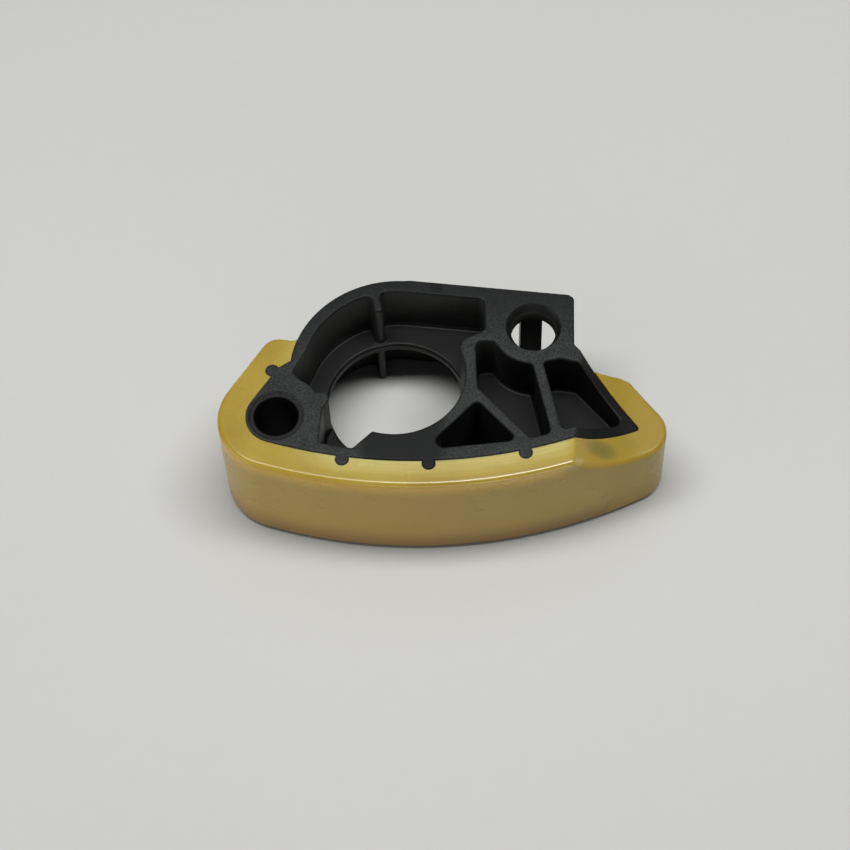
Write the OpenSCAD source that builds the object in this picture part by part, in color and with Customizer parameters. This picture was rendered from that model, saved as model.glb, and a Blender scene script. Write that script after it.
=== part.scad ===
// Timing chain guide: a moulded carrier with a slide lining wrapped round its front and both ends.
// Millimetres. The origin is on the locating bore axis at the lower face,
// X runs along the chain face, Y points away from the chain and Z is up along the bores.

/* [Overall] */
// Length of the guide over both ends of its lining
guide_l = 91.4; // [90:0.1:91.8]
// Height of the guide, which is also the width of the slide face
guide_h = 27; // [24:0.5:30]
// Radius of the slide face the chain runs on
track_r = 105; // [98:1:115]
// Distance along X from the locating bore to the crown of the slide face
track_x = 32.5; // [31:0.5:34.5]

/* [Slide lining] */
// Thickness of the lining, the same all round
lining_t = 5.8; // [5:0.1:6.4]
// How far the lining stands back from both flat faces of the carrier
lining_inset = 0.35; // [0.1:0.05:0.8]
// Rounding of the long outer edges of the lining
lining_edge_r = 1.1; // [0.4:0.1:2]
// Length of the straight run from the locating boss to the left end of the lining
left_run = 15.2; // [13.4:0.2:15.6]
// Rounding of the left end of the lining
left_end_r = 4; // [2:0.25:4.5]
// Slope of the left end face of the lining
left_end_a = 12; // [10:1:20]
// Y of the right end face of the lining
right_end_y = 8.6; // [7.5:0.1:9.6]
// Rounding of the right end of the lining
right_end_r = 1.6; // [0.6:0.2:2.4]

/* [Locating boss] */
// Diameter of the locating bore
bore_d = 9.2; // [8.4:0.1:9.8]
// Diameter of the narrow ledge at both ends of the bore
ledge_d = 10.4; // [10:0.1:10.8]
// Diameter of the bevelled mouth over the ledge
mouth_d = 11.6; // [11:0.1:11.8]
// Depth of the mouth
mouth_depth = 0.5; // [0.3:0.05:1.2]
// Outer radius of the locating boss, where the lining wraps round it
boss_r = 6.2; // [6:0.1:6.8]
// Radius of the solid hub on the pocket side of the bore
hub_r = 9.7; // [9:0.1:10.2]
// Direction of the straight flank that leaves the boss
flank_a = 55; // [53:0.5:57]
// Length of that flank
flank_l = 9.7; // [9.2:0.1:10.4]

/* [Back wall] */
// X of the centre of the arched back wall
crown_x = 24.7; // [24.2:0.1:25.2]
// Y of the centre of the arched back wall
crown_y = 9.6; // [9.2:0.1:10]
// Outer radius of the arched back wall
crown_r = 21.9; // [21.3:0.1:22.8]
// Thickness of the back wall
wall_t = 2.8; // [2.2:0.1:3.4]
// Slope of the straight back edge
deck_slope = 9.3; // [8:0.1:10.6]
// X of the right corner of the straight back edge
deck_x = 62.2; // [61.4:0.1:63]
// Y at which the right edge of the deck turns into the arm
deck_y = 13.8; // [13.2:0.1:14.4]

/* [Shaft opening] */
// X of the centre of the shaft opening
hole_x = 24.4; // [24:0.1:24.8]
// Y of the centre of the shaft opening
hole_y = 8.9; // [8.5:0.1:9.3]
// Diameter of the shaft opening
hole_d = 28.8; // [27.6:0.1:29.4]
// Thickness of the wall between the opening and the next pocket
ring_t = 2.3; // [1.8:0.1:2.8]

/* [Web and ribs] */
// Thickness of the web at mid height
web_t = 2.2; // [1.6:0.1:4]
// Thickness of the two inner ribs
rib_t = 2.0; // [1.5:0.1:2.5]
// Thickness of the front wall behind the lining
front_t = 2.4; // [2:0.1:3]
// Rounding of the pocket corners
corner_r = 1.3; // [0.8:0.1:1.5]
// Thickness of the fin on the back wall
fin_t = 1.8; // [1.2:0.1:2.4]
// How far the fin stands in from the back wall
fin_l = 4.4; // [2.6:0.1:4.8]
// Direction of the fin seen from the centre of the back wall
fin_a = 102; // [99:0.5:105]
// X at which the short rib meets the front wall
short_rib_x = 51.6; // [50.8:0.1:52.2]
// X at which the long rib meets the front wall
long_rib_x = 56.8; // [56.2:0.1:57.4]

/* [Fixing boss] */
// X of the fixing hole
fix_x = 53.3; // [53:0.1:53.7]
// Y of the fixing hole
fix_y = 18.3; // [18:0.1:18.7]
// Diameter of the fixing hole
fix_d = 9.2; // [8.2:0.1:9.6]
// Diameter of the lead-in cone over the fixing hole
fix_mouth_d = 11.6; // [10.6:0.1:12.2]
// Depth of that cone
fix_mouth_depth = 2; // [1:0.1:2.6]
// Outer radius of the fixing boss on the pocket side
fix_boss_r = 8.6; // [8.2:0.1:9]
// Thickness of the two plates that carry the fixing hole
plate_t = 4.1; // [3.2:0.1:6]
// Half width of the hollow between the two plates
hollow_r = 6.5; // [5.6:0.1:6.7]
// Width of the post that stands behind the fixing hole
post_t = 4.5; // [3.6:0.1:5.6]
// Gap between the fixing hole and the post
post_gap = 0.6; // [0.3:0.1:1]
// X of the wall between the deck and the back pocket
deck_wall_x = 43.4; // [42.8:0.1:44]

/* [Arm] */
// Radius of the arm tip
tip_r = 0.8; // [0.4:0.1:1.4]
// Slope of the arm wall
arm_a = 53; // [52:0.2:54]
// Thickness of the arm wall
arm_t = 2.2; // [1.8:0.1:2.8]
// How far the low point of the nose lies below the top face
nose_drop = 7.9; // [5:0.1:9.5]
// Radius of the hollow that sweeps down to the nose
nose_r = 24; // [21:0.5:28]
// Distance from the step to the low point of the nose
nose_run = 17; // [16:0.2:18]
// X at which the nose starts on the slide face
step_x = 59.6; // [59:0.1:60.2]
// Lean of the nose over the depth of the guide
step_lean = 8; // [6:0.5:9]

/* [Keys] */
// Radius of the keys that hold the lining
key_r = 1.45; // [1:0.05:1.7]
// How far the centre of a key stands out from the wall
key_out = 0.6; // [0.3:0.05:0.9]
// X of the first key on the front wall
key_x1 = 13.2; // [12.4:0.1:14]
// X of the second key on the front wall
key_x2 = 30.4; // [29:0.1:31.6]
// X of the third key on the front wall
key_x3 = 49.8; // [48.6:0.1:50.6]
// Distance of the flank key along the flank
key_flank = 8.5; // [8:0.1:8.9]

/* [Witness mark] */
// Diameter of the ejector mark on the back rim
mark_d = 2.4; // [1.6:0.1:2.6]
// Depth of the ejector mark
mark_depth = 0.15; // [0.05:0.05:0.4]

/* [Hidden] */
$fn = 96;
// How far neighbouring stretches of the lining run into each other
lap = 0.2;
// How far the face of a lapping stretch lies inside its neighbour's face
shy = 0.03;
big = 60;

function unit(v) = v / norm(v);
function polar(c, r, a) = [c[0] + r * cos(a), c[1] + r * sin(a)];
function heading(v) = atan2(v[1], v[0]);
function turn(a) = a > 180 ? a - 360 : a < -180 ? a + 360 : a;
// Where the line through p along u meets the line through q along v
function meet(p, u, q, v) = p + u * ((q[0] - p[0]) * v[1] - (q[1] - p[1]) * v[0]) / (u[0] * v[1] - u[1] * v[0]);
// A corner v between p and q, rounded to r
function corner(p, v, q, r) =
  r <= 0 ? [v] :
  let (
    u = unit(p - v),
    w = unit(q - v),
    half = acos(u * w) / 2,
    c = v + unit(u + w) * r / sin(half),
    a0 = heading(v + u * r / tan(half) - c),
    sweep = turn(heading(v + w * r / tan(half) - c) - a0),
    n = max(2, ceil(abs(sweep) / 15))
  )
  [for (i = [0:n]) polar(c, r, a0 + sweep * i / n)];
// An outline from [x, y, radius] corners
function outline(k) =
  let (n = len(k), p = [for (q = k) [q[0], q[1]]])
  [for (i = [0:n - 1]) each corner(p[(i + n - 1) % n], p[i], p[(i + 1) % n], k[i][2])];
function at(p, r) = [p[0], p[1], r];

mid_z = guide_h / 2;
wrap_r = boss_r + lining_t;
front_r = track_r - lining_t;
tip_x = guide_l - wrap_r - tip_r - lining_t;
track_c = [track_x, sqrt(pow(track_r - wrap_r, 2) - pow(track_x, 2))];
boss_dir = -unit(track_c);
hole_c = [hole_x, hole_y];
crown_c = [crown_x, crown_y];
fix_c = [fix_x, fix_y];
crown_in = crown_r - wall_t;
deck_dir = [cos(deck_slope), -sin(deck_slope)];
deck_n = [sin(deck_slope), cos(deck_slope)];
tip_c = [tip_x, track_c[1] - sqrt(pow(front_r - tip_r, 2) - pow(tip_x - track_x, 2))];
tip_dir = unit(tip_c - track_c);
arm_dir = [cos(arm_a), -sin(arm_a)];
arm_n = [sin(arm_a), cos(arm_a)];
arm_p = tip_c + arm_n * tip_r;
arm_top = meet(arm_p, arm_dir, [0, deck_y - 2.3], [1, 0]);
flank_dir = [cos(flank_a), sin(flank_a)];
flank_n = [-sin(flank_a), cos(flank_a)];
flank_p = flank_n * boss_r;
crown_foot = polar(crown_c, crown_r, 171);
deck_corner = meet(crown_c + deck_n * crown_r, deck_dir, [deck_x, 0], [0, 1]);

// A point of the front wall, d behind its outer face
function front_at(x, d) = [x, track_c[1] - sqrt(pow(front_r - d, 2) - pow(x - track_x, 2))];
// The direction of the front wall's normal at a point, away from the chain
function front_in(x) = unit(track_c - front_at(x, 0));

key_c = [
  for (x = [key_x1, key_x2, key_x3]) front_at(x, 0) - front_in(x) * key_out,
  flank_p + flank_dir * key_flank + flank_n * key_out
];

// The outer wall of the carrier seen from above
module carrier_plan() {
  intersection() {
    translate(track_c) circle(front_r);
    union() {
      translate(crown_c) circle(crown_r);
      polygon(outline([
        at(boss_dir * boss_r, 0),
        at(boss_dir * (boss_r + 20), 0),
        at(tip_c + tip_dir * (tip_r + 20), 0),
        at(tip_c + tip_dir * tip_r, 0),
        at(tip_c, 0),
        at(arm_p, 0),
        at(arm_top, 1.2),
        at([deck_x - 0.8, deck_y], 1.2),
        at(deck_corner, 1.2),
        at(crown_c + deck_n * crown_r, 0),
        at(crown_c, 0),
        at(crown_foot, 0),
        at(flank_p + flank_dir * flank_l, 0),
        at(flank_p, 0),
        at([0, 0], 0)
      ]));
    }
  }
  circle(boss_r);
  translate(tip_c) circle(tip_r);
  for (c = key_c) translate(c) circle(key_r);
}

// The hollow round the shaft opening, with its two back pockets and the near-left pocket
fin_tip = polar(crown_c, crown_in - fin_l, fin_a);
fin_side = [-sin(fin_a), cos(fin_a)] * fin_t / 2;
fin_out = [cos(fin_a), sin(fin_a)] * (fin_l + 0.02);
deck_in = crown_c + deck_n * crown_in;
notch_p = polar(hole_c, hole_d / 2, 249.5);
notch_foot = front_at(15.2, front_t - 0.2);
open_pts = outline(concat(
  [
    at(hole_c, 0),
    at(notch_p + unit(notch_p - notch_foot) * 3, 0),
    at(notch_foot, 0.8),
    at(front_at(8.4, front_t), 0.9),
    at([hub_r - 0.3, 1.2], 0.8),
    at([hub_r + 1, 3.2], 0.6),
    at([hub_r + 0.8, 5.1], 0.6)
  ],
  [for (a = [32:9:59]) at(polar([0, 0], hub_r, a), 0)],
  [at(polar(crown_c, crown_in + 2.2, 178.4), 1)],
  [for (a = [161:-6:fin_a + 9]) at(polar(crown_c, crown_in, a), 0)],
  [
    at(fin_tip + fin_side + fin_out, corner_r),
    at(fin_tip + fin_side, fin_t * 0.42),
    at(fin_tip - fin_side, fin_t * 0.42),
    at(fin_tip - fin_side + fin_out, corner_r)
  ],
  [for (a = [fin_a - 10:-4:92 - deck_slope]) at(polar(crown_c, crown_in, a), 0)],
  [
    at(meet(deck_in, deck_dir, [deck_wall_x, 0], [0, 1]), corner_r),
    at([deck_wall_x, 18.4], corner_r),
    at(hole_c + [hole_d / 2 - 0.4, 7.2], 1),
    at(hole_c + [hole_d / 2 - 2, 1], 0)
  ]
));
module open_plan() {
  polygon(open_pts);
  translate(hole_c) circle(d = hole_d);
}

// The long rib runs from the fixing boss to the front wall, the short rib from the opening to it
long_top = [fix_x + 0.35, fix_y - fix_boss_r];
long_dir = unit(front_at(long_rib_x, 0) - long_top);
long_side = [-long_dir[1], long_dir[0]] * rib_t * 0.55;
short_top = hole_c + [hole_d / 2 + ring_t - 0.1, -5.9];
short_dir = unit(front_at(short_rib_x, 0) - short_top);
short_side = [-short_dir[1], short_dir[0]] * rib_t / 2;
middle_x = hole_x + hole_d / 2 + ring_t;

middle_pts = outline(concat(
  [
    at([middle_x, fix_y - 2.6], corner_r + 0.3),
    at([fix_x - 8.3, fix_y - 2.8], 0.9)
  ],
  [for (a = [218:8:258]) at(polar(fix_c, fix_boss_r, a), 0)],
  [
    at(meet(long_top - long_side, long_dir, [0, fix_y - fix_boss_r], [1, 0]), 0.9),
    at(meet(long_top - long_side, long_dir, front_at(54, front_t), [1, 0.2]), corner_r),
    at(meet(short_top + short_side, short_dir, front_at(54, front_t), [1, 0.2]), 0.9),
    at(meet(short_top + short_side, short_dir, [middle_x, 0], [0, 1]), 0.9)
  ]
));
module middle_plan() {
  polygon(middle_pts);
}

// The three-cornered pocket between the opening, the short rib and the front wall
slant_p = polar(hole_c, hole_d / 2 + ring_t, -45.5);
slant_dir = [sin(45.5), cos(45.5)];
base_dir = [1, 0.0615];
three_pts = outline([
  at(meet(slant_p, slant_dir, short_top - short_side, short_dir), 1.2),
  at(meet(slant_p, slant_dir, front_at(33.5, front_t + 0.5), base_dir), corner_r + 0.3),
  at(meet(short_top - short_side, short_dir, front_at(33.5, front_t + 0.5), base_dir), 1.1)
]);
module three_plan() {
  polygon(three_pts);
}

// The pocket inside the arm
arm_in = arm_p - arm_n * arm_t;
arm_end = front_at(tip_x - 2.2, front_t);
arm_pts = outline(concat(
  [
    at(meet(long_top + long_side, long_dir, [fix_x, fix_y - fix_boss_r - 0.1], [1, 0.25]), 0.9),
    at([fix_x + 4.9, fix_y - 7.7], 1.2),
    at(meet(arm_in, arm_dir, [0, deck_y - 4.3], [1, 0]), 0.7),
    at(meet(arm_in, arm_dir, arm_end, [1, 0.42]), 1.4)
  ],
  [for (x = [tip_x - 4.6:-2:long_rib_x + 2.6]) at(front_at(x, front_t), 0)],
  [at(meet(long_top + long_side, long_dir, front_at(long_rib_x + 2, front_t), [1, 0.25]), corner_r)]
));
module arm_plan() {
  polygon(arm_pts);
}

// The hollow between the two fixing plates, open to the back on both sides of the post
module hollow_plan() {
  difference() {
    union() {
      translate(fix_c) circle(hollow_r);
      translate([fix_x - hollow_r, fix_y]) square([2 * hollow_r, 30]);
    }
    translate([fix_x - post_t / 2, fix_y + fix_d / 2 + post_gap]) square([post_t, 60]);
  }
}

// The hollow that sweeps the top of the guide down to the nose
module nose_cut() {
  start = front_at(step_x, -lining_t);
  translate([start[0], start[1], guide_h - nose_drop + nose_r])
    rotate([90, 0, -step_lean])
      translate([nose_run, 0, 0])
        cylinder(r = nose_r, h = 2 * big, center = true);
}

// A cone that widens from d to top_d over the depth and runs on a little above it
module cone_cut(d, top_d, depth) {
  over = 0.2;
  cylinder(d1 = d, d2 = top_d + (top_d - d) * over / depth, h = depth + over);
}

module carrier() {
  color([0.09, 0.09, 0.1])
  difference() {
    linear_extrude(guide_h) carrier_plan();
    for (z = [mid_z + web_t / 2, mid_z - web_t / 2 - guide_h]) {
      translate([0, 0, z]) linear_extrude(guide_h) open_plan();
      translate([0, 0, z]) linear_extrude(guide_h) middle_plan();
      translate([0, 0, z]) linear_extrude(guide_h) arm_plan();
    }
    translate([hole_x, hole_y, -1]) cylinder(d = hole_d, h = guide_h + 2);
    translate([0, 0, -1]) linear_extrude(guide_h + 2) three_plan();
    translate([0, 0, -1]) cylinder(d = bore_d, h = guide_h + 2);
    translate([0, 0, guide_h - mouth_depth]) cone_cut(ledge_d, mouth_d, mouth_depth);
    translate([0, 0, mouth_depth]) mirror([0, 0, 1]) cone_cut(ledge_d, mouth_d, mouth_depth);
    translate([fix_x, fix_y, -1]) cylinder(d = fix_d, h = guide_h + 2);
    translate([fix_x, fix_y, guide_h - fix_mouth_depth]) cone_cut(fix_d, fix_mouth_d, fix_mouth_depth);
    translate([0, 0, plate_t]) linear_extrude(guide_h - 2 * plate_t) hollow_plan();
    translate([33.7, crown_y + 19.4, guide_h - mark_depth]) cylinder(d = mark_d, h = 1);
    nose_cut();
  }
}

// A slice of the lining's section from the inside out to r, with rounded outer edges, s inside the true face
module lining_section(r_in, r, s) {
  lo = lining_inset + s;
  hi = guide_h - lining_inset - s;
  out = r - s;
  e = lining_edge_r;
  intersection() {
    translate([r_in, lo]) square([out - r_in, hi - lo]);
    union() {
      translate([out - e - big, lo]) square([big, hi - lo]);
      translate([r_in, lo + e]) square([out - r_in, hi - lo - 2 * e]);
      translate([out - e, lo + e]) circle(e);
      translate([out - e, hi - e]) circle(e);
    }
  }
}

// A turned stretch of the lining about c, from angle a0 through sweep
module lining_turn(c, r_in, r, a0, sweep, s = 0) {
  translate([c[0], c[1], 0])
    rotate([0, 0, a0])
      rotate_extrude(angle = sweep)
        lining_section(r_in, r, s);
}

// A straight stretch of the lining from p along u, its outer face on the left of the run
module lining_run(p, u, length, depth) {
  translate([p[0], p[1], 0])
    rotate([0, 0, heading(u)])
      rotate([90, 0, 90])
        linear_extrude(length)
          translate([-depth, 0])
            lining_section(0, depth, shy);
}

left_p = flank_n * wrap_r;
left_u = flank_dir;
end_u = [cos(left_end_a), -sin(left_end_a)];
end_n = [sin(left_end_a), cos(left_end_a)];
left_half = (180 - abs(turn(heading(end_u) - heading(left_u)))) / 2;
left_cut = left_end_r / tan(left_half);
left_corner = left_p + left_u * left_run;
left_c = left_corner - left_u * left_cut - flank_n * left_end_r;
right_p = tip_c + arm_n * (tip_r + lining_t);
right_corner = meet(right_p, arm_dir, [0, right_end_y], [1, 0]);
right_half = (180 - arm_a) / 2;
right_cut = right_end_r / tan(right_half);
right_c = right_corner + arm_dir * right_cut - arm_n * right_end_r;
right_run = norm(right_p - right_corner) - right_cut;
right_in = meet(arm_p, arm_dir, [0, right_end_y], [1, 0])[0] - 1;

module slide_lining() {
  a_boss = heading(boss_dir) + 360;
  a_tip = heading(tip_dir) + 360;
  lap_a = lap / track_r * 180 / PI;
  color([0.86, 0.74, 0.42])
  difference() {
    union() {
      lining_turn([0, 0], 0, wrap_r, flank_a + 90, a_boss - flank_a - 90);
      lining_turn(track_c, front_r - 3, track_r, a_boss - lap_a, a_tip - a_boss + 2 * lap_a, shy);
      lining_turn(tip_c, 0, tip_r + lining_t, a_tip, 360 + 90 - arm_a - a_tip);
      lining_run(left_p - left_u * lap, left_u, left_run - left_cut + 2 * lap, wrap_r);
      lining_turn(left_c, 0, left_end_r, 90 - left_end_a, flank_a + left_end_a);
      lining_run(left_c + end_n * left_end_r - end_u * lap, end_u, 7, lining_t);
      lining_run(right_c + arm_n * right_end_r - arm_dir * lap, arm_dir, right_run + 2 * lap, lining_t + 1.5);
      lining_turn(right_c, 0, right_end_r, 90 - arm_a, arm_a);
      lining_run([right_in, right_end_y], [1, 0], right_c[0] - right_in + lap, lining_t);
    }
    translate([0, 0, -1]) linear_extrude(guide_h + 2) carrier_plan();
    nose_cut();
  }
}

carrier();
slide_lining();
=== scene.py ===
import bpy
import bmesh
import math
import numpy as np
from mathutils import Matrix, Vector
from mathutils.geometry import delaunay_2d_cdt


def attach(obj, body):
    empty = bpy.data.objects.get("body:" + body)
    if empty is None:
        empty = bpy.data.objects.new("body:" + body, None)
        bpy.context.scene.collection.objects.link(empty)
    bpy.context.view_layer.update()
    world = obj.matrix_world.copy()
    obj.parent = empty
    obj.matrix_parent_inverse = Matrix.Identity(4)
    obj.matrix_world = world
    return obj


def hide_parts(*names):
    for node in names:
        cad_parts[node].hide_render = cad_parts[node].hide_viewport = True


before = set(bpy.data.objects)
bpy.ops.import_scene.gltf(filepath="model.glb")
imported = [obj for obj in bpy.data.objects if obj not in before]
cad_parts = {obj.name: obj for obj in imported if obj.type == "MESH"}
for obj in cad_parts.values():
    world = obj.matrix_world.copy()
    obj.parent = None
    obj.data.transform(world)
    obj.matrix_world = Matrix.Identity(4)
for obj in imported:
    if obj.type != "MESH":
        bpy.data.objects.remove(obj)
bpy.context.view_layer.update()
print("frame loaded:", sorted(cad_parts))

mm = 0.001


# camera at the photo's angle

cameraSetup = {
    "place": (30.02, -244.01, 436.58),  # mm, in the part's frame
    "lookElevation": 59.62,
    "roll": -2.64,
    "lens": 99.87,
    "sensor": 36.0,
    "clip": (0.01, 20),
}


def makeCamera(setup):
    el = math.radians(setup["lookElevation"])
    roll = math.radians(setup["roll"])
    ahead = Vector((0, math.cos(el), -math.sin(el)))
    right = Vector((1, 0, 0))
    up = Vector((0, math.sin(el), math.cos(el)))
    tiltedRight = right * math.cos(roll) + up * math.sin(roll)
    tiltedUp = up * math.cos(roll) - right * math.sin(roll)
    turn = Matrix((tiltedRight, tiltedUp, -ahead)).transposed().to_4x4()
    data = bpy.data.cameras.new("photoCamera")
    data.lens = setup["lens"]
    data.sensor_width = setup["sensor"]
    data.sensor_fit = "HORIZONTAL"
    data.clip_start, data.clip_end = setup["clip"]
    camera = bpy.data.objects.new("photoCamera", data)
    bpy.context.scene.collection.objects.link(camera)
    camera.matrix_world = Matrix.Translation(Vector(setup["place"]) * mm) @ turn
    bpy.context.scene.camera = camera


makeCamera(cameraSetup)
print("camera placed")


# sizes of the guide that both mouldings share, in mm

guideShape = {
    "height": 27.0,
    "trackRadius": 105.0,
    "trackX": 32.5,
    "bossRadius": 6.2,
    "tipX": 72.8,
    "tipRadius": 0.8,
    "armSlope": 53.0,
    "flankSlope": 55.0,
    "flankRun": 9.7,
    "crownCentre": (24.7, 9.6),
    "crownRadius": 21.9,
    "crownFoot": 171,  # angle where the arched back wall ends
    "noseDrop": 7.9,
    "noseRadius": 24.0,
    "noseRun": 17.0,
    "noseStartX": 59.6,
    "noseLean": 8.0,
}
liningShape = {
    "thick": 5.8,
    "inset": 0.35,  # below the carrier's flat faces
    "edgeRadius": 1.1,
    "leftRun": 15.2,
    "leftEndRadius": 4.0,
    "leftEndSlope": 12.0,
    "rightEndY": 8.6,
    "rightEndRadius": 1.6,
    "station": 0.3,  # spacing of the cross-sections
    "topShares": (0, 0.15, 0.3, 0.45, 0.6, 0.75, 0.88, 1),  # points of a section across the top
    "wallShares": (0.03, 0.08, 0.2, 0.4, 0.6, 0.8, 0.92, 0.97),  # and down a wall
    "topRollSteps": 8,
    "footRollSteps": 6,
    "sharp": 30,
}


def onTrack(x, radius):  # y of a point on a circle round the track's centre
    return trackCentre.y - math.sqrt(radius ** 2 - (x - trackCentre.x) ** 2)


wrapRadius = guideShape["bossRadius"] + liningShape["thick"]
innerRadius = guideShape["trackRadius"] - liningShape["thick"]
trackCentre = Vector((guideShape["trackX"], math.sqrt(
    (guideShape["trackRadius"] - wrapRadius) ** 2 - guideShape["trackX"] ** 2)))
tipCentre = Vector((guideShape["tipX"], onTrack(guideShape["tipX"], innerRadius - guideShape["tipRadius"])))
noseStart = Vector((guideShape["noseStartX"], onTrack(guideShape["noseStartX"], guideShape["trackRadius"])))


def topHeight(x, y):  # the flat top, or the hollow that sweeps down to the nose
    lean = math.radians(guideShape["noseLean"])
    s = (x - noseStart.x) * math.cos(lean) - (y - noseStart.y) * math.sin(lean) - guideShape["noseRun"]
    r, height = guideShape["noseRadius"], guideShape["height"]
    if abs(s) >= r:
        return height
    return min(height, height - guideShape["noseDrop"] + r - math.sqrt(r * r - s * s))


# small helpers for shader nodes

def addNode(tree, kind, **values):
    node = tree.nodes.new(kind)
    column, row = divmod(len(tree.nodes), 6)
    node.location = (220 * column - 1600, 600 - 220 * row)
    for key, value in values.items():
        setattr(node, key, value)
    return node


def setInputs(node, **values):
    for key, value in values.items():
        node.inputs[key.replace("_", " ")].default_value = value


def feed(tree, value, socket):  # a link, or a fixed value
    if isinstance(value, bpy.types.NodeSocket):
        tree.links.new(value, socket)
    else:
        socket.default_value = value


def newGroup(name, inputs, outputs):
    tree = bpy.data.node_groups.new(name, "ShaderNodeTree")
    for label, value in inputs.items():
        socket = tree.interface.new_socket(label, in_out="INPUT", socket_type="NodeSocketFloat")
        socket.default_value = value
    for label in outputs:
        tree.interface.new_socket(label, in_out="OUTPUT", socket_type="NodeSocketFloat")
    return tree, addNode(tree, "NodeGroupInput"), addNode(tree, "NodeGroupOutput")


def placeGroup(tree, group, **values):
    node = addNode(tree, "ShaderNodeGroup", node_tree=group)
    setInputs(node, **values)
    return node.outputs


def mathNode(tree, operation, first, second=0.0):
    node = addNode(tree, "ShaderNodeMath", operation=operation)
    feed(tree, first, node.inputs[0])
    feed(tree, second, node.inputs[1])
    return node.outputs[0]


def product(tree, first, *others):
    for other in others:
        first = mathNode(tree, "MULTIPLY", first, other)
    return first


def stepNode(tree, source, ends):  # a smooth step, 0 at the first end and 1 at the second
    node = addNode(tree, "ShaderNodeMapRange", interpolation_type="SMOOTHSTEP")
    setInputs(node, From_Min=ends[0], From_Max=ends[1])
    tree.links.new(source, node.inputs["Value"])
    return node.outputs[0]


def spanNode(tree, source, rise, fall):  # 1 between a rising and a falling step
    return product(tree, stepNode(tree, source, rise), stepNode(tree, source, fall))


def spreadNode(tree, x, y, centre, halves=(1.0, 1.0)):  # squared distance from a centre, in half widths
    squares = []
    for source, middle, half in zip((x, y), centre, halves):
        offset = mathNode(tree, "DIVIDE", mathNode(tree, "SUBTRACT", source, middle), half)
        squares.append(product(tree, offset, offset))
    return mathNode(tree, "ADD", *squares)


def distanceNode(tree, x, y, centre):
    return mathNode(tree, "SQRT", spreadNode(tree, x, y, centre))


def mixColours(tree, factor, first, second):
    node = addNode(tree, "ShaderNodeMix", data_type="RGBA")
    feed(tree, first, node.inputs["A"])
    feed(tree, second, node.inputs["B"])
    tree.links.new(factor, node.inputs["Factor"])
    return node.outputs["Result"]


def placeInMm(tree):  # the object's own coordinates
    place = addNode(tree, "ShaderNodeTexCoord")
    inMm = addNode(tree, "ShaderNodeVectorMath", operation="SCALE")
    inMm.inputs["Scale"].default_value = 1 / mm
    tree.links.new(place.outputs["Object"], inMm.inputs[0])
    return inMm.outputs[0]


def splitAxes(tree, vector):
    split = addNode(tree, "ShaderNodeSeparateXYZ")
    tree.links.new(vector, split.inputs[0])
    return split.outputs["X"], split.outputs["Y"], split.outputs["Z"]


def noiseNode(tree, place, rate, detail, roughness):
    noise = addNode(tree, "ShaderNodeTexNoise")
    setInputs(noise, Detail=detail, Roughness=roughness)
    tree.links.new(place, noise.inputs["Vector"])
    tree.links.new(rate, noise.inputs["Scale"])
    return noise.outputs["Fac"]


def newMaterial(name):
    material = bpy.data.materials.new(name)
    material.use_nodes = True
    return material, material.node_tree, material.node_tree.nodes["Principled BSDF"].inputs


# fine moulded grain: a small bump with a few larger swells

def buildMouldGrain():
    tree, entry, leave = newGroup(
        "mouldGrain", {"Grain per mm": 4.0, "Swell per mm": 0.2, "Swell share": 0.5}, ["Height", "Mottle"])
    place = placeInMm(tree)
    fine = noiseNode(tree, place, entry.outputs["Grain per mm"], 3.0, 0.6)
    swell = noiseNode(tree, place, entry.outputs["Swell per mm"], 4.0, 0.55)
    blend = addNode(tree, "ShaderNodeMix", data_type="FLOAT")
    tree.links.new(entry.outputs["Swell share"], blend.inputs["Factor"])
    tree.links.new(fine, blend.inputs["A"])
    tree.links.new(swell, blend.inputs["B"])
    tree.links.new(blend.outputs["Result"], leave.inputs["Height"])
    tree.links.new(swell, leave.inputs["Mottle"])
    return tree


# drawn-out flow lines that follow the length of the guide

def buildFlowLines():
    tree, entry, leave = newGroup(
        "flowLines", {"Stretch": 0.05, "Lines per mm": 1.0, "Low": 0.4, "High": 0.7}, ["Mask"])
    x, y, z = splitAxes(tree, placeInMm(tree))
    # bow the coordinate so that the lines follow the middle of the curved track
    offset = mathNode(tree, "SUBTRACT", x, guideShape["trackX"])
    sag = mathNode(tree, "DIVIDE", product(tree, offset, offset), guideShape["trackRadius"] + innerRadius)
    join = addNode(tree, "ShaderNodeCombineXYZ")
    tree.links.new(product(tree, x, entry.outputs["Stretch"]), join.inputs["X"])
    tree.links.new(mathNode(tree, "SUBTRACT", y, sag), join.inputs["Y"])
    tree.links.new(z, join.inputs["Z"])
    noise = noiseNode(tree, join.outputs[0], entry.outputs["Lines per mm"], 5.0, 0.65)
    ramp = addNode(tree, "ShaderNodeMapRange")
    tree.links.new(noise, ramp.inputs["Value"])
    tree.links.new(entry.outputs["Low"], ramp.inputs["From Min"])
    tree.links.new(entry.outputs["High"], ramp.inputs["From Max"])
    tree.links.new(ramp.outputs[0], leave.inputs["Mask"])
    return tree


mouldGrain = buildMouldGrain()
flowLines = buildFlowLines()
print("shared shader groups built")


# black glass-filled nylon of the carrier

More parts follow.
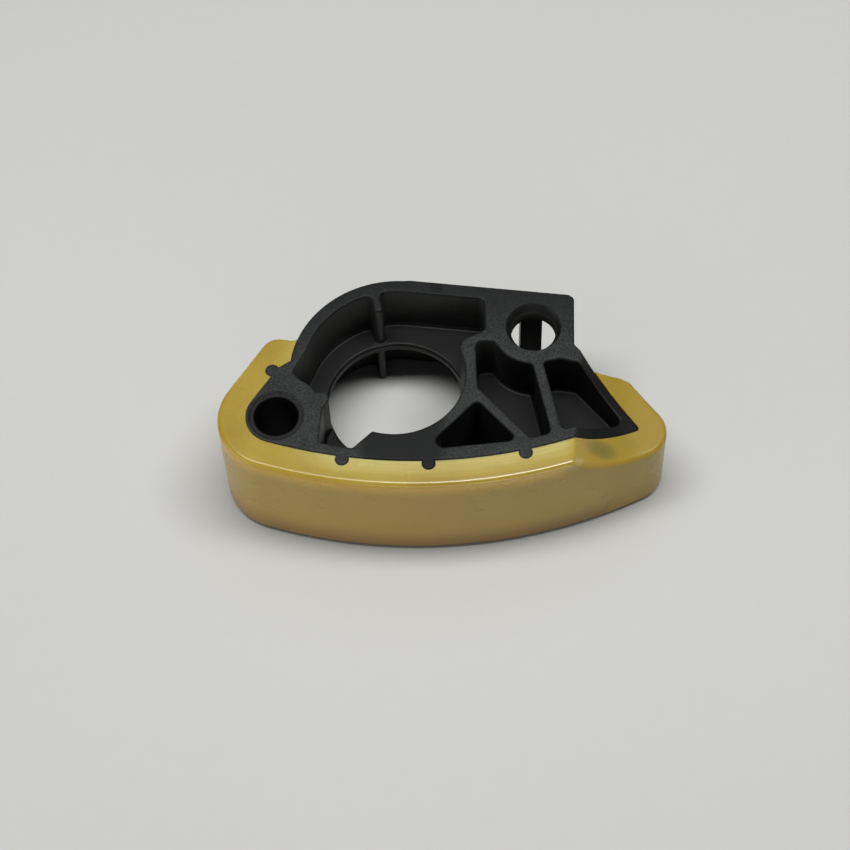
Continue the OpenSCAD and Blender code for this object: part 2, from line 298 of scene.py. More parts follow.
carrierFinish = {
    "pocket": (0.0036, 0.0036, 0.0034, 1),
    "pocketLight": (0.0068, 0.0066, 0.0062, 1),
    # painted light: the pocket walls at the back are painted lighter, as if lit from the front
    "litBackWall": (0.034, 0.0335, 0.032, 1),
    "face": (0.0030, 0.0033, 0.0033, 1),
    "faceLight": (0.038, 0.0405, 0.0395, 1),
    "roughPocket": 0.46,
    "roughFace": 0.52,
    "specular": 0.17,
    "grainPerMm": 2.6,
    "swellPerMm": 0.22,
    "swellShare": 0.2,
    "speck": (0.28, 0.74),  # grain heights where a pale speck starts and is full
    "bump": 0.5,
    "bumpMm": 0.06,
    "panelDim": 0.95,
    # painted shade: the flat faces are dimmed towards the back
    "backShade": 0.7,
    # where the finish changes, in mm
    "upperFaceZ": (26.0, 26.95),
    "lowerFaceZ": (1.0, 0.05),
    "ledgeShade": (4.98, 5.06),  # radius; the ledge inside is painted as dark as the shaded bore: painted shade
    "backY": (12.0, 27.0),
    "litBackWallY": (10.0, 16.0),
    "cornerHoleX": ((32.5, 33.5), (54.0, 53.0)),  # the three-cornered hole
    "cornerHoleY": (7.5, 6.5),
    "cornerHoleZ": (26.4, 25.0),
    "upright": (0.6, 0.2),  # upward share of the normal of a wall
    "panelX": ((15.5, 18.5), (36.0, 31.5)),  # the smoother panel at the front
    "panelY": (-0.5, -3.0),
    "markPlace": (33.7, 29.0),  # the ejector mark
    "markSize": 1.2,
    "markBlur": (-0.1, 0.1),
}


def buildCarrierZones(setup):
    tree, entry, leave = newGroup("carrierZones", {"Mark size": setup["markSize"]},
                                  ["Flat face", "Panel", "Mark", "Back", "Back wall", "Deep"])
    x, y, z = splitAxes(tree, placeInMm(tree))
    flat = mathNode(tree, "MAXIMUM", stepNode(tree, z, setup["upperFaceZ"]),
                    stepNode(tree, z, setup["lowerFaceZ"]))
    # inside this radius the ledge takes the dark pocket colour, a painted shade of the bore
    outsideBore = stepNode(tree, distanceNode(tree, x, y, (0.0, 0.0)), setup["ledgeShade"])
    normal = addNode(tree, "ShaderNodeNewGeometry").outputs["Normal"]
    upward = mathNode(tree, "ABSOLUTE", splitAxes(tree, normal)[2])
    upright = stepNode(tree, upward, setup["upright"])
    cornerHole = product(tree, spanNode(tree, x, *setup["cornerHoleX"]),
                         stepNode(tree, y, setup["cornerHoleY"]), stepNode(tree, z, setup["cornerHoleZ"]))
    fromMark = distanceNode(tree, x, y, setup["markPlace"])
    insideMark = mathNode(tree, "SUBTRACT", entry.outputs["Mark size"], fromMark)
    zones = {
        "Flat face": product(tree, flat, outsideBore),
        "Panel": product(tree, spanNode(tree, x, *setup["panelX"]), stepNode(tree, y, setup["panelY"])),
        "Mark": stepNode(tree, insideMark, setup["markBlur"]),
        "Back": stepNode(tree, y, setup["backY"]),
        # painted light on the upright pocket walls towards the back
        "Back wall": product(tree, upright, stepNode(tree, y, setup["litBackWallY"])),
        "Deep": product(tree, cornerHole, upright),  # black all the way down
    }
    for label, value in zones.items():
        tree.links.new(value, leave.inputs[label])
    return tree


def makeCarrierNylon(setup):
    material, tree, shader = newMaterial("carrierNylon")
    grain = placeGroup(tree, mouldGrain, Grain_per_mm=setup["grainPerMm"],
                       Swell_per_mm=setup["swellPerMm"], Swell_share=setup["swellShare"])
    zones = placeGroup(tree, buildCarrierZones(setup))
    hollow = mixColours(tree, grain["Mottle"], setup["pocket"], setup["pocketLight"])
    # the back walls of the pockets get painted light
    pocket = mixColours(tree, zones["Back wall"], hollow, setup["litBackWall"])
    speck = stepNode(tree, grain["Height"], setup["speck"])
    face = mixColours(tree, speck, setup["face"], setup["faceLight"])
    smooth = mathNode(tree, "MAXIMUM", zones["Panel"], zones["Mark"])
    # the smoother panel and the mark are plainer faces of their own; the dimming towards the back is painted
    # shade
    dim = mathNode(tree, "MAXIMUM", product(tree, smooth, setup["panelDim"]),
                   product(tree, zones["Back"], setup["backShade"]))
    smoothAndShadedFace = mixColours(tree, dim, face, setup["face"])
    tree.links.new(mixColours(tree, zones["Flat face"], pocket, smoothAndShadedFace), shader["Base Color"])
    rough = addNode(tree, "ShaderNodeMapRange")
    setInputs(rough, To_Min=setup["roughPocket"], To_Max=setup["roughFace"])
    tree.links.new(zones["Flat face"], rough.inputs["Value"])
    tree.links.new(mathNode(tree, "MAXIMUM", rough.outputs[0], zones["Deep"]), shader["Roughness"])
    bump = addNode(tree, "ShaderNodeBump")
    setInputs(bump, Strength=setup["bump"], Distance=setup["bumpMm"] * mm)
    tree.links.new(grain["Height"], bump.inputs["Height"])
    tree.links.new(bump.outputs[0], shader["Normal"])
    shader["Specular IOR Level"].default_value = setup["specular"]
    return material


# waxy cream nylon of the lining

liningFinish = {
    "body": (0.362, 0.242, 0.037, 1),
    "browGlow": (0.60, 0.36, 0.032, 1),  # painted light: a glow of light showing through below the upper edge
    "top": (0.302, 0.203, 0.0150, 1),
    "topPale": (0.37, 0.268, 0.034, 1),
    "cloud": (0.33, 0.226, 0.036, 1),
    "band": (0.52, 0.450, 0.158, 1),  # paler behind the front edge
    # painted shade: the wall turns darker and redder towards the floor
    "footShade": (0.195, 0.100, 0.030, 1),
    # the nose's own smoother, more saturated tone, darkened further by painted shade on its slope
    "nose": (0.305, 0.214, 0.026, 1),
    # painted reflection: dark patches on the nose where the black carrier arm shows in the glossy lining
    "armReflection": (0.065, 0.088, 0.042, 1),
    "streak": (0.47, 0.35, 0.075, 1),
    "browGlowShare": 0.75,
    "footShadeShare": 0.8,
    "noseShare": 0.75,
    "armReflectionShare": 0.6,
    "streakShare": 0.08,
    "bandPlain": 0.6,
    "bandLined": 0.32,
    "rough": (0.22, 0.34),
    "specular": 0.4,
    "coat": 1.0,  # worn smooth along the front edge
    "coatRough": 0.16,
    "scatter": 0.55,
    "scatterMm": 2.4,
    "scatterColour": (1.0, 0.62, 0.22),
    "grainPerMm": 1.2,
    "swellPerMm": 0.055,
    "swellShare": 0.6,
    "clouds": (0.25, 0.62),
    "lineStretch": 0.03,
    "linesPerMm": 1.7,
    "lineRange": (0.40, 0.66),
    # where the finish changes, in mm
    "topZ": (25.2, 26.4),
    "footZ": (9.0, 0.4),
    "browZ": (21.5, 25.8),
    "browX": (60.0, 55.0),
    "noseX": (64.0, 70.0),
    "bandDepth": (5.4, 0.6),  # from the carrier's wall
    "bandX": ((-1.0, 14.0), (61.0, 57.0)),
    "edgeRadius": (103.0, 103.8),
    "edgeZ": (24.4, 25.4),
    "edgeX": (8.0, 46.0),
    "armReflections": [
        {"place": (65.4, -8.9), "halves": (3.5, 2.2), "weight": 0.9},
        {"place": (70.9, -6.3), "halves": (2.2, 1.7), "weight": 0.22},
    ],
    "armReflectionRim": (1.9, 0.4),
    "armReflectionZ": (17.0, 18.6),
    "armReflectionRagged": 700.0,
}


def buildLiningZones(setup):
    tree, entry, leave = newGroup("liningZones", {"Band inner radius": innerRadius},
                                  ["Front band", "Foot shade", "Arm reflection", "Top", "Brow glow", "Nose tone and shade", "Edge"])
    x, y, z = splitAxes(tree, placeInMm(tree))
    radius = distanceNode(tree, x, y, trackCentre)
    fromWall = mathNode(tree, "SUBTRACT", radius, entry.outputs["Band inner radius"])
    top = stepNode(tree, z, setup["topZ"])
    ragged = addNode(tree, "ShaderNodeTexNoise")
    setInputs(ragged, Scale=setup["armReflectionRagged"], Detail=2.0)
    armReflected = 0.0
    # painted reflection of the black carrier arm, with a ragged rim
    for armReflection in setup["armReflections"]:
        spread = spreadNode(tree, x, y, armReflection["place"], armReflection["halves"])
        uneven = mathNode(tree, "ADD", spread, ragged.outputs["Fac"])
        patch = product(tree, stepNode(tree, uneven, setup["armReflectionRim"]), armReflection["weight"])
        armReflected = mathNode(tree, "MAXIMUM", patch, armReflected)
    zones = {
        "Front band": product(tree, stepNode(tree, fromWall, setup["bandDepth"]), top,
                              spanNode(tree, x, *setup["bandX"])),
        # painted shade low on the wall
        "Foot shade": stepNode(tree, z, setup["footZ"]),
        "Arm reflection": product(tree, armReflected, stepNode(tree, z, setup["armReflectionZ"])),
        "Top": top,
        # painted light: the glow below the upper edge
        "Brow glow": product(tree, stepNode(tree, z, setup["browZ"]), stepNode(tree, x, setup["browX"])),
        # own tone of the nose plus painted shade
        "Nose tone and shade": stepNode(tree, x, setup["noseX"]),
        "Edge": product(tree, stepNode(tree, radius, setup["edgeRadius"]), stepNode(tree, z, setup["edgeZ"]),
                        stepNode(tree, x, setup["edgeX"])),
    }
    for label, value in zones.items():
        tree.links.new(value, leave.inputs[label])
    return tree


def makeLiningNylon(setup):
    material, tree, shader = newMaterial("liningNylon")
    grain = placeGroup(tree, mouldGrain, Grain_per_mm=setup["grainPerMm"],
                       Swell_per_mm=setup["swellPerMm"], Swell_share=setup["swellShare"])
    lines = placeGroup(tree, flowLines, Stretch=setup["lineStretch"], Lines_per_mm=setup["linesPerMm"],
                       Low=setup["lineRange"][0], High=setup["lineRange"][1])["Mask"]
    zones = placeGroup(tree, buildLiningZones(setup))
    clouds = stepNode(tree, grain["Mottle"], setup["clouds"])
    waxy = mixColours(tree, clouds, setup["topPale"], setup["top"])
    lined = mathNode(tree, "ADD", product(tree, lines, setup["bandLined"]), setup["bandPlain"])
    tone = mixColours(tree, clouds, setup["cloud"], setup["body"])
    for mask, colour in (  # each layer covers the ones before it
            (product(tree, zones["Brow glow"], setup["browGlowShare"]), setup["browGlow"]),
            (zones["Top"], waxy),
            (product(tree, lines, zones["Top"], setup["streakShare"]), setup["streak"]),
            (product(tree, zones["Front band"], lined), setup["band"]),
            (product(tree, zones["Foot shade"], setup["footShadeShare"]), setup["footShade"]),
            (product(tree, zones["Nose tone and shade"], setup["noseShare"]), setup["nose"]),
            (product(tree, zones["Arm reflection"], setup["armReflectionShare"]), setup["armReflection"])):
        tone = mixColours(tree, mask, tone, colour)
    tree.links.new(tone, shader["Base Color"])
    rough = addNode(tree, "ShaderNodeMapRange")
    setInputs(rough, To_Min=setup["rough"][0], To_Max=setup["rough"][1])
    tree.links.new(grain["Mottle"], rough.inputs["Value"])
    tree.links.new(rough.outputs[0], shader["Roughness"])
    tree.links.new(product(tree, zones["Edge"], setup["coat"]), shader["Coat Weight"])
    shader["Coat Roughness"].default_value = setup["coatRough"]
    shader["Subsurface Weight"].default_value = setup["scatter"]
    shader["Subsurface Radius"].default_value = setup["scatterColour"]
    shader["Subsurface Scale"].default_value = setup["scatterMm"] * mm
    shader["Specular IOR Level"].default_value = setup["specular"]
    return material


carrierNylon = makeCarrierNylon(carrierFinish)
liningNylon = makeLiningNylon(liningFinish)
print("materials made")


# what both mouldings need at the end

def finishNormals(piece, sharpAngle):
    work = bmesh.new()
    work.from_mesh(piece.data)
    for face in work.faces:
        face.smooth = True
    for edge in work.edges:
        edge.smooth = len(edge.link_faces) != 2 or edge.calc_face_angle() < math.radians(sharpAngle)
    work.to_mesh(piece.data)
    work.free()
    normals = piece.modifiers.new("flatFaces", "WEIGHTED_NORMAL")
    normals.keep_sharp = True
    normals.weight = 80


def openEdges(work):
    return sum(len(e.link_faces) != 2 for e in work.edges)


# carrier: the CAD moulding with its rims rolled over and its pocket floors filleted

carrierEdges = {
    "rim": 0.5,  # radius of the rims
    "fillet": 0.75,  # radius where the web meets the walls, and of its open edge
    "steps": 5,
    "skipMark": 9.0,  # loops shorter than this stay sharp: the ejector mark
    "skipWeb": 27.0,  # and the small floor beside the hub
    "sharp": 34,
    "webTop": 14.6,
    "webBottom": 12.4,
    "flatNormal": 0.35,  # least upward share of a flat face's normal
    "flatGap": 0.03,  # and how far it may lie off the surface
    "slant": 0.25,  # upward share that tells a cone from a wall
    "crease": 1,  # degrees between faces of a fold in the surface
    "tries": 30,
    "ease": 0.7,  # what is left of a roll after each try
}
meetGap = 1e-5  # points closer than this are one


def ringEdges(rings):
    edges, first = [], 0
    for ring in rings:
        edges += [(first + i, first + (i + 1) % len(ring)) for i in range(len(ring))]
        first += len(ring)
    return edges


def clashPoints(rings, creases):  # where outlines cross each other or run together
    flat = [p for ring in rings for p in ring]
    points, _, _, origins, _, _ = delaunay_2d_cdt(flat, ringEdges(rings) + creases, [], 0, meetGap)
    return [p for p, origin in zip(points, origins) if len(origin) != 1]


def insideRings(rings, p):
    odd = False
    for ring in rings:
        for a, b in zip(ring, ring[1:] + ring[:1]):
            if (a.y > p.y) != (b.y > p.y) and p.x < a.x + (b.x - a.x) * (p.y - a.y) / (b.y - a.y):
                odd = not odd
    return odd


def fillFlat(work, loops, creases, sign):  # triangles between the loops, with the holes left open
    verts = [v for loop in loops for v in loop]
    rings = [[v.co.to_2d() for v in loop] for loop in loops]
    number = {v: i for i, v in enumerate(verts)}
    flat = [v.co.to_2d() for v in verts]
    folds = [(number[a], number[b]) for a, b in creases]
    while folds:
        clashes = clashPoints(rings, folds)
        clear = [(i, j) for i, j in folds if all(
            (flat[i] - p).length + (flat[j] - p).length > (flat[i] - flat[j]).length + 1e-4 for p in clashes)]
        if len(clear) == len(folds):
            break
        folds = clear
    points, _, faces, origins, _, _ = delaunay_2d_cdt(flat, ringEdges(rings) + folds, [], 0, meetGap)
    for face in faces:
        middle = sum((points[i] for i in face), Vector((0, 0))) / len(face)
        corners = [verts[origins[i][0]] for i in face if origins[i]]
        if len(set(corners)) == 3 and insideRings(rings, middle):
            work.faces.new(corners if sign > 0 else corners[::-1])


def freeRoom(chains, radius):  # 1, or less where another edge lies close by
    points = [np.array([v.co.to_2d() for v in chain]) for chain in chains]
    starts = np.concatenate(points)
    runs = np.concatenate([np.roll(p, -1, axis=0) - p for p in points])
    lengths = np.maximum(np.hypot(runs[:, 0], runs[:, 1]), 1e-9)
    owner = np.concatenate([np.full(len(p), k) for k, p in enumerate(points)])
    along, total = np.zeros(len(starts)), np.zeros(len(starts))
    for k in range(len(points)):
        mine = owner == k
        along[mine] = np.cumsum(lengths[mine]) - lengths[mine]
        total[mine] = lengths[mine].sum()
    rooms = [[] for chain in chains]
    for i in range(len(starts)):
        away = starts[i] - starts
        share = np.clip((away * runs).sum(axis=1) / lengths ** 2, 0, 1)
        gap = np.hypot(*(away - runs * share[:, None]).T)
        travel = np.abs(along + share * lengths - along[i])
        travel = np.minimum(travel, total - travel)
        gap[(owner == owner[i]) & (travel < 4 * radius)] = 1e9
        rooms[owner[i]].append(min(1.0, max(0.02, 0.4 * gap.min() / radius)))
    return rooms


def findBorder(region, sign, setup):  # what lies round a flat surface, by the first vertex of each edge
    inside = set(region)
    nextOf, normalOf, foldOf, slanted = {}, {}, {}, set()
    for face in region:
        for loop in face.loops:
            others = [f for f in loop.edge.link_faces if f is not face]
            if not others or others[0] in inside:
                continue
            a, b = loop.vert, loop.link_loop_next.vert
            run = (b.co - a.co).to_2d().normalized()
            slope = (b.co - a.co).normalized()
            aside = [v.co - a.co - slope * (v.co - a.co).dot(slope) for v in others[0].verts]
            nextOf[a] = b
            normalOf[a] = Vector((-run.y, run.x)) * sign
            # a wall that rises, or an edge that falls away
            foldOf[a] = 1 if max(aside, key=lambda d: d.length).z * sign > 0 else -1
            if abs(others[0].normal.z) > setup["slant"]:
                slanted.add(a)
    return nextOf, normalOf, foldOf, slanted


def chainLoops(nextOf):
    left, loops = dict(nextOf), []
    while left:
        chain, v = [], next(iter(left))
        while v in left:
            chain.append(v)
            v = left.pop(v)
        loops.append(chain)
    return loops


def planRolls(border, skip):  # the loops that stay sharp, and how each point of the others moves
    nextOf, normalOf, foldOf, slanted = border
    keptLoops, plans = [], []
    for chain in chainLoops(nextOf):
        length = sum((nextOf[v].co - v.co).length for v in chain)
        if length < skip or slanted.intersection(chain):  # cones keep their own edge
            keptLoops.append(chain)
            continue
        shifts, folds = [], []
        for i, v in enumerate(chain):
            before, after = normalOf[chain[i - 1]], normalOf[v]
            fold = (foldOf[chain[i - 1]] + foldOf[v]) / 2
            shifts.append((before + after) / max(0.35, 1 + before.dot(after)) * abs(fold))
            folds.append(fold)
        plans.append((chain, shifts, folds))
    return keptLoops, plans


def settleRooms(plans, keptLoops, radius, setup):  # less roll where the rims would run into each other
    rooms = freeRoom([chain for chain, shifts, folds in plans], radius)
    kept = [[v.co.to_2d() for v in chain] for chain in keptLoops]
    for attempt in range(setup["tries"]):
        rings = [[v.co.to_2d() + shift * radius * free for v, shift, free in zip(chain, shifts, room)]
                 for (chain, shifts, folds), room in zip(plans, rooms)]
        clashes = clashPoints(rings + kept, [])
        if not clashes:
            break
        for ring, room in zip(rings, rooms):
            hit = set()
            for i, p in enumerate(ring):
                q = ring[i - 1]
                for c in clashes:
                    onEdge = (p - c).length + (q - c).length < (p - q).length + 0.02
                    if onEdge or (p - c).length < 1.5 * radius:
                        hit.update((i, (i - 1) % len(ring)))
            for i in hit:
                room[i] *= setup["ease"]
    return rooms


def buildRoll(work, plan, room, sign, radius, surface, setup):  # quarter-round strips; gives the last ring
    chain, shifts, folds = plan
    rings = [chain]
    for k in range(1, setup["steps"] + 1):
        turn = math.pi / 2 * k / setup["steps"]
        ring = []
        for v, shift, fold, free in zip(chain, shifts, folds, room):
            if fold == 0:
                ring.append(v)
                continue
            flat = v.co.to_2d() + shift * radius * free * (1 - math.cos(turn))
            rise = sign * fold * radius * free * (1 - math.sin(turn))
            ring.append(work.verts.new((flat.x, flat.y, surface(flat.x, flat.y) + rise)))
        rings.append(ring)
    for v, fold, free in zip(chain, folds, room):
        v.co.z += sign * fold * radius * free
    for lower, upper in zip(rings, rings[1:]):
        for i in range(len(chain)):
            j = (i + 1) % len(chain)
            corners = list(dict.fromkeys((lower[i], lower[j], upper[j], upper[i])))
            if len(corners) > 2:
                work.faces.new(corners)
    return rings[-1]


def rollEdges(work, sign, radius, surface, skip, setup):
    region = [f for f in work.faces if f.normal.z * sign > setup["flatNormal"]
              and all(abs(v.co.z - surface(v.co.x, v.co.y)) < setup["flatGap"] for v in f.verts)]
    inside = set(region)
    keptLoops, plans = planRolls(findBorder(region, sign, setup), skip)
    rooms = settleRooms(plans, keptLoops, radius, setup)
    # folds inside the surface, such as the start of the nose hollow, stay where they are
    folded = [tuple(e.verts) for e in dict.fromkeys(e for f in region for e in f.edges)
              if len(e.link_faces) == 2 and inside.issuperset(e.link_faces)
              and e.calc_face_angle() > math.radians(setup["crease"])]
    moved = {v: v for chain in keptLoops for v in chain}
    bmesh.ops.delete(work, geom=region, context="FACES")
    rims = []
    for plan, room in zip(plans, rooms):
        rims.append(buildRoll(work, plan, room, sign, radius, surface, setup))
        moved.update(zip(plan[0], rims[-1]))
    creases = [(moved[a], moved[b]) for a, b in folded if a in moved and b in moved]
    fillFlat(work, rims + keptLoops, creases, sign)


def makeCarrier(setup):
    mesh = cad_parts["carrier"].data.copy()
    mesh.name = "carrierMoulding"
    mesh.materials.clear()
    mesh.materials.append(carrierNylon)
    work = bmesh.new()
    work.from_mesh(mesh)
    for face in work.faces:
        face.material_index = 0
    bmesh.ops.remove_doubles(work, verts=work.verts, dist=2e-6)
    bmesh.ops.scale(work, vec=(1 / mm, 1 / mm, 1 / mm), verts=work.verts)
    work.normal_update()
    for sign, radius, surface, skip in (
            (1, setup["rim"], topHeight, setup["skipMark"]),
            (-1, setup["rim"], lambda x, y: 0.0, setup["skipMark"]),
            (1, setup["fillet"], lambda x, y: setup["webTop"], setup["skipWeb"]),
            (-1, setup["fillet"], lambda x, y: setup["webBottom"], setup["skipWeb"])):
        rollEdges(work, sign, radius, surface, skip, setup)
        work.normal_update()
    bmesh.ops.scale(work, vec=(mm, mm, mm), verts=work.verts)
    print("carrier made, open edges:", openEdges(work))
    work.to_mesh(mesh)
    work.free()
    piece = bpy.data.objects.new("carrierMoulding", mesh)
    bpy.context.scene.collection.objects.link(piece)
    finishNormals(piece, setup["sharp"])
    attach(piece, "root")
    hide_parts("carrier")


makeCarrier(carrierEdges)


# lining: cross-sections swept round the carrier from the left end to the right end

def polar(centre, radius, degrees):
    a = math.radians(degrees)
    return Vector((centre[0] + radius * math.cos(a), centre[1] + radius * math.sin(a)))


def crossing(p, u, q, v):
    return p + u * (((q.x - p.x) * v.y - (q.y - p.y) * v.x) / (u.x * v.y - u.y * v.x))


def angleOf(p, centre):
    return math.degrees(math.atan2(p[1] - centre[1], p[0] - centre[0]))


def arcPoints(centre, radius, start, end, step):  # points with their angles
    n = max(4, int(abs(math.radians(end - start)) * radius / step))
    angles = [start + (end - start) * i / n for i in range(n + 1)]
    return [(polar(centre, radius, a), a) for a in angles]


def runPoints(start, end, step):
    n = max(3, int((end - start).length / step))
    return [start.lerp(end, i / n) for i in range(n + 1)]


def cornerCentre(corner, away, out, radius, between):  # centre of the arc that rounds a corner
    return corner + away * (radius / math.tan(math.radians(between / 2))) - out * radius


def liningPath(setup):  # pairs of plan points, outer face and carrier wall
    thick, step = setup["thick"], setup["station"]
    origin, level = Vector((0, 0)), Vector((1, 0))
    flank, arm, endSlope = guideShape["flankSlope"], guideShape["armSlope"], setup["leftEndSlope"]
    boss, tip = guideShape["bossRadius"], guideShape["tipRadius"]
    crown, crownRadius = Vector(guideShape["crownCentre"]), guideShape["crownRadius"]
    flankDir, flankOut = polar(origin, 1, flank), polar(origin, 1, flank + 90)
    endDir, endOut = polar(origin, 1, -endSlope), polar(origin, 1, 90 - endSlope)
    armDir, armOut = polar(origin, 1, -arm), polar(origin, 1, 90 - arm)
    flankEnd = flankOut * boss + flankDir * guideShape["flankRun"]
    rightWall = tipCentre + armOut * tip
    rightOuter = tipCentre + armOut * (tip + thick)
    endLine = Vector((0, setup["rightEndY"]))
    rightInner = crossing(rightWall, armDir, endLine, level)

    def acrossFlank(p):  # straight across to the carrier wall, but never past the end of the lining
        wall = flankOut * boss
        return wall + flankDir * min((p - wall).dot(flankDir), (flankEnd - wall).dot(flankDir))

    def acrossArm(p):
        return rightWall - armDir * min((rightWall - p).dot(armDir), (rightWall - rightInner).dot(armDir))

    # the left end face runs in to the arched back wall, and the wall leads back to the flank
    leftRadius = setup["leftEndRadius"]
    leftCorner = flankOut * wrapRadius + flankDir * setup["leftRun"]
    leftCentre = cornerCentre(leftCorner, -flankDir, flankOut, leftRadius, 180 - abs(flank + endSlope))
    leftFace = leftCentre + endOut * leftRadius
    toCrown = leftFace - crown
    reach = toCrown.dot(endDir)
    reach += math.sqrt(reach ** 2 - toCrown.length_squared + crownRadius ** 2)
    leftInner = leftFace - endDir * reach
    crownFoot = guideShape["crownFoot"]
    wallLine = [p for p, a in arcPoints(crown, crownRadius, angleOf(leftInner, crown), crownFoot, step)]
    wallLine += runPoints(polar(crown, crownRadius, crownFoot), flankEnd, step)[1:]
    last = len(wallLine) - 1
    pairs = [(leftInner.lerp(leftFace, i / last), wallLine[i]) for i in range(last)]
    for p, a in arcPoints(leftCentre, leftRadius, 90 - endSlope, flank + 90, step):
        pairs.append((p, acrossFlank(p)))
    for p in runPoints(leftCentre + flankOut * leftRadius, flankOut * wrapRadius, step)[1:-1]:
        pairs.append((p, acrossFlank(p)))

    # round the boss, along the track and round the tip
    bossAngle = angleOf(origin, trackCentre) + 360
    tipAngle = angleOf(tipCentre, trackCentre) + 360
    for p, a in arcPoints(origin, wrapRadius, flank + 90, bossAngle, step):
        pairs.append((p, polar(origin, boss, a)))
    for p, a in arcPoints(trackCentre, guideShape["trackRadius"], bossAngle, tipAngle, step)[1:]:
        pairs.append((p, polar(trackCentre, innerRadius, a)))
    for p, a in arcPoints(tipCentre, tip + thick, tipAngle, 360 + 90 - arm, step)[1:]:
        pairs.append((p, polar(tipCentre, tip, a)))

    # along the arm to the right end face
    rightRadius = setup["rightEndRadius"]
    rightCorner = crossing(rightOuter, armDir, endLine, level)
    rightCentre = cornerCentre(rightCorner, armDir, armOut, rightRadius, 180 - arm)
    for p in runPoints(rightOuter, rightCentre + armOut * rightRadius, step)[1:-1]:
        pairs.append((p, acrossArm(p)))
    for p, a in arcPoints(rightCentre, rightRadius, 90 - arm, 90, step):
        pairs.append((p, acrossArm(p)))
    for p in runPoints(rightCentre + Vector((0, rightRadius)), rightInner, step)[1:]:
        pairs.append((p, rightInner))
    return pairs


def liningTop(p):
    return min(guideShape["height"] - liningShape["inset"], topHeight(p.x, p.y))


def liningSection(outer, inner, setup):
    low = setup["inset"]
    width = (outer - inner).length
    out = (outer - inner) / width if width > 1e-6 else Vector((0, 0))
    e = min(setup["edgeRadius"], 0.45 * width)
    across = [inner + out * (width - e) * share for share in setup["topShares"]]
    points = [(p, liningTop(p)) for p in across]
    rollStart, crest = points[-1]
    for k in range(1, setup["topRollSteps"] + 1):
        turn = math.pi / 2 * k / setup["topRollSteps"]
        q = rollStart + out * e * math.sin(turn)
        # the roll starts level with the top beside it and follows the nose outwards
        points.append((q, min(crest, liningTop(q)) - e * (1 - math.cos(turn))))
    wallTop = points[-1][1]
    for share in setup["wallShares"]:
        points.append((outer, wallTop + (low + e - wallTop) * share))
    for k in range(setup["footRollSteps"] + 1):
        turn = math.pi / 2 * k / setup["footRollSteps"]
        points.append((rollStart + out * e * math.cos(turn), low + e - e * math.sin(turn)))
    points.append((inner, low))
    innerTop = points[0][1]
    for share in reversed(setup["wallShares"]):  # back up the carrier wall
        points.append((inner, innerTop + (low - innerTop) * share))
    return [Vector((q.x, q.y, z)) for q, z in points]


def makeLining(setup):
    sections = [liningSection(outer, inner, setup) for outer, inner in liningPath(setup)]
    work = bmesh.new()
    rows = [[work.verts.new(p * mm) for p in section] for section in sections]
    m = len(rows[0])
    for before, after in zip(rows, rows[1:]):
        for i in range(m):
            j = (i + 1) % m
            work.faces.new((before[i], after[i], after[j], before[j]))
    bmesh.ops.remove_doubles(work, verts=work.verts, dist=1e-6)
    bmesh.ops.dissolve_degenerate(work, edges=work.edges, dist=1e-6)
    bmesh.ops.recalc_face_normals(work, faces=work.faces)
    print("lining made, open edges:", openEdges(work))
    mesh = bpy.data.meshes.new("liningMoulding")
    work.to_mesh(mesh)
    work.free()
    mesh.materials.append(liningNylon)
    piece = bpy.data.objects.new("liningMoulding", mesh)
    bpy.context.scene.collection.objects.link(piece)
    finishNormals(piece, setup["sharp"])
    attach(piece, "root")
    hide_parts("slide_lining")


makeLining(liningShape)


# floor, lamps and room

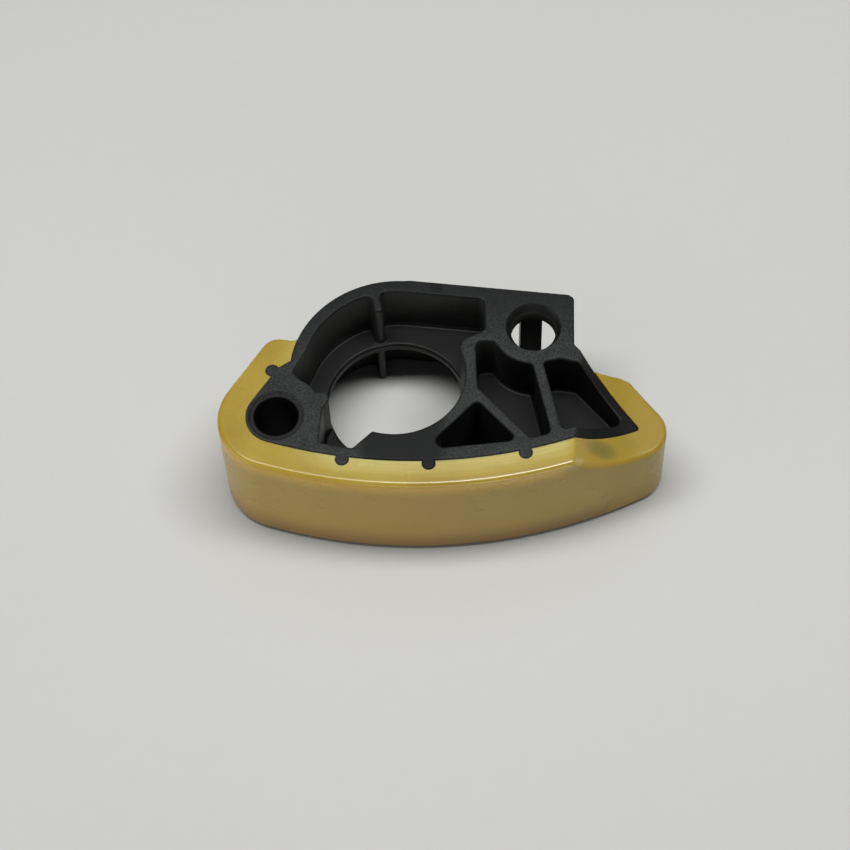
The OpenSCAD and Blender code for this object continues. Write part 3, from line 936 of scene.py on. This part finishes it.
floorSetup = {
    "half": 3.0,
    "colour": (0.502, 0.502, 0.484, 1),
    "grainColour": (0.532, 0.532, 0.518, 1),
    "rough": 0.9,
    "specular": 0.1,
    "grainPerMm": 0.25,
    "swellPerMm": 0.012,
    "swellShare": 0.5,
}
lampSetup = [
    {"name": "overheadStrip", "size": (0.8, 0.18), "power": 5.9,
     "place": (0.05, 0.03, 0.7), "aim": (0.05, 0.02, 0.0)},
    {"name": "frontFill", "size": (0.9, 0.25), "power": 1.3,
     "place": (0.03, -0.75, 0.16), "aim": (0.03, -0.02, 0.012)},
    {"name": "backPanel", "size": (1.2, 0.4), "power": 0.9,
     "place": (0.03, 0.48, 0.80), "aim": (0.03, 0.01, 0.02)},
    {"name": "leftPanel", "size": (0.5, 0.14), "power": 1.7,
     "place": (-0.7, -0.25, 0.09), "aim": (0.0, 0.0, 0.015)},
    {"name": "rightPanel", "size": (0.5, 0.14), "power": 0.25,
     "place": (0.8, 0.1, 0.09), "aim": (0.06, 0.0, 0.015)},
]
roomSetup = {"colour": (0.92, 0.95, 1.0, 1), "strength": 0.08}


def makeFloor(setup):
    mesh = bpy.data.meshes.new("paperFloor")
    h = setup["half"]
    mesh.from_pydata([(-h, -h, 0), (h, -h, 0), (h, h, 0), (-h, h, 0)], [], [(0, 1, 2, 3)])
    floor = bpy.data.objects.new("paperFloor", mesh)
    bpy.context.scene.collection.objects.link(floor)
    material, tree, shader = newMaterial("paleFloor")
    shader["Roughness"].default_value = setup["rough"]
    shader["Specular IOR Level"].default_value = setup["specular"]
    grain = placeGroup(tree, mouldGrain, Grain_per_mm=setup["grainPerMm"],
                       Swell_per_mm=setup["swellPerMm"], Swell_share=setup["swellShare"])
    tone = mixColours(tree, grain["Height"], setup["colour"], setup["grainColour"])
    tree.links.new(tone, shader["Base Color"])
    mesh.materials.append(material)


def makeLamp(setup):
    data = bpy.data.lights.new(setup["name"], "AREA")
    data.shape = "RECTANGLE"
    data.size, data.size_y = setup["size"]
    data.energy = setup["power"]
    lamp = bpy.data.objects.new(setup["name"], data)
    bpy.context.scene.collection.objects.link(lamp)
    lamp.location = setup["place"]
    lamp.rotation_euler = (Vector(setup["aim"]) - Vector(setup["place"])).to_track_quat("-Z", "Y").to_euler()


def makeRoom(setup):
    world = bpy.data.worlds.new("studioRoom")
    world.use_nodes = True
    setInputs(world.node_tree.nodes["Background"], Color=setup["colour"], Strength=setup["strength"])
    bpy.context.scene.world = world


makeFloor(floorSetup)
for lamp in lampSetup:
    makeLamp(lamp)
makeRoom(roomSetup)
bpy.context.scene.view_settings.view_transform = "Standard"
print("studio set")
